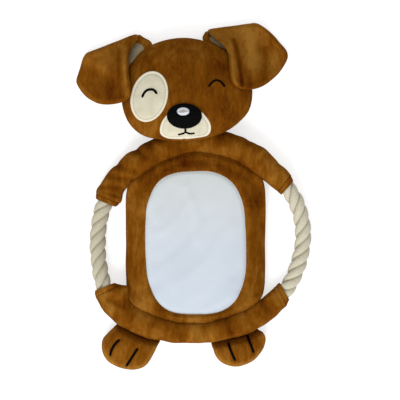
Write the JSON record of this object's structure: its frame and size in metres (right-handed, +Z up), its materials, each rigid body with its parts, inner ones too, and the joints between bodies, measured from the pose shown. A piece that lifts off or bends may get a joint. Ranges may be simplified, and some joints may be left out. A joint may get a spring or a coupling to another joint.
{
  "type": "plush tug toy",
  "caption": "Stuffed puppy dog toy lying on its back, with a rope ring through its arms and legs as tug handles.",
  "frame": {"origin": "on the ground, under the middle of the toy's bounding box", "axes": "+Z up from the ground that the toy lies on, +Y from the feet towards the head, +X to the toy's left as it faces up (the picture's right)"},
  "size_m": [0.2342, 0.3472, 0.0536],
  "materials": {
    "plush": "short brushed pile",
    "seam_thread": "twisted sewing thread",
    "canvas": "plain woven canvas",
    "binding_tape": "woven tape",
    "film": "crinkled clear film",
    "filling": "loose polyester fibre",
    "rope": "three-strand cotton rope",
    "felt": "napped felt",
    "nose_cloth": "short black pile",
    "highlight_thread": "satin embroidery",
    "black_thread": "satin embroidery",
    "ear_lining": "short beige pile",
    "squeaker_plastic": "moulded",
    "reed_plastic": "moulded"
  },
  "bodies": {
    "torso": {"body_front": "plush", "tummy_panel": "canvas", "crinkle_sheet": "film", "body_filling": "filling", "body_back": "plush", "yoke_sleeve": "plush", "seat_sleeve": "plush", "rope_in_yoke": "rope", "rope_in_seat_right": "rope", "rope_in_seat_left": "rope", "rope_splice_wrap": "binding_tape"},
    "head": {"head_front": "plush", "head_back": "plush", "head_filling": "filling", "squeaker_bulb": "squeaker_plastic", "squeaker_reed": "reed_plastic", "eye_patch": "felt", "muzzle_patch": "felt", "nose": "nose_cloth", "nose_highlight": "highlight_thread", "left_eye_stitch": "black_thread", "right_eye_stitch": "black_thread", "mouth_stitch": "black_thread"},
    "left_ear": {"left_ear_root_outer": "plush", "left_ear_root_lining": "ear_lining"},
    "left_ear_flap": {"left_ear_flap_lining": "ear_lining", "left_ear_flap_outer": "plush"},
    "right_ear": {"right_ear_root_outer": "plush", "right_ear_root_lining": "ear_lining"},
    "right_ear_flap": {"right_ear_flap_lining": "ear_lining", "right_ear_flap_outer": "plush"},
    "left_handle": {"left_arm_sleeve": "plush", "left_leg_sleeve": "plush", "rope_left": "rope", "left_arm_cuff_stitch": "seam_thread", "left_leg_cuff_stitch": "seam_thread"},
    "right_handle": {"right_arm_sleeve": "plush", "right_leg_sleeve": "plush", "rope_right": "rope", "right_arm_cuff_stitch": "seam_thread", "right_leg_cuff_stitch": "seam_thread"},
    "left_foot": {"left_foot_front": "plush", "left_foot_filling": "filling", "left_foot_back": "plush", "left_foot_toe_stitch_1": "black_thread", "left_foot_toe_stitch_2": "black_thread"},
    "right_foot": {"right_foot_front": "plush", "right_foot_filling": "filling", "right_foot_back": "plush", "right_foot_toe_stitch_1": "black_thread", "right_foot_toe_stitch_2": "black_thread"}
  },
  "joints": [
    {"name": "neck_nod", "type": "hinge", "parent": "torso", "child": "head", "pos_m": [0.0017, 0.05511, 0.0239], "axis": [1, 0, 0], "range_deg": [0, 100]},
    {"name": "left_ear_swing", "type": "hinge", "parent": "head", "child": "left_ear", "pos_m": [-0.03673, 0.15513, 0.00981], "axis": [-0.6529, -0.7574, 0], "range_deg": [0, 60]},
    {"name": "right_ear_swing", "type": "hinge", "parent": "head", "child": "right_ear", "pos_m": [0.00874, 0.15959, 0.00735], "axis": [-0.8654, 0.501, 0], "range_deg": [0, 60]},
    {"name": "left_ear_fold", "type": "hinge", "parent": "left_ear", "child": "left_ear_flap", "pos_m": [-0.07946, 0.15461, 0.00455], "axis": [-0.9302, -0.3672, 0], "range_deg": [0, 120]},
    {"name": "right_ear_fold", "type": "hinge", "parent": "right_ear", "child": "right_ear_flap", "pos_m": [0.038, 0.17101, 0.00455], "axis": [-0.9903, -0.1393, 0], "range_deg": [0, 120]},
    {"name": "left_handle_fold", "type": "hinge", "parent": "torso", "child": "left_handle", "pos_m": [-0.07026, -0.04614, 0.0115], "axis": [0, 1, 0], "range_deg": [-40, 60]},
    {"name": "right_handle_fold", "type": "hinge", "parent": "torso", "child": "right_handle", "pos_m": [0.07474, -0.04614, 0.0115], "axis": [0, -1, 0], "range_deg": [-40, 60]},
    {"name": "left_foot_flap", "type": "hinge", "parent": "torso", "child": "left_foot", "pos_m": [-0.05609, -0.13767, 0.009], "axis": [0.9109, -0.4126, 0], "range_deg": [-25, 40]},
    {"name": "right_foot_flap", "type": "hinge", "parent": "torso", "child": "right_foot", "pos_m": [0.04367, -0.14134, 0.009], "axis": [0.9501, 0.3118, 0], "range_deg": [-25, 40]}
  ]
}
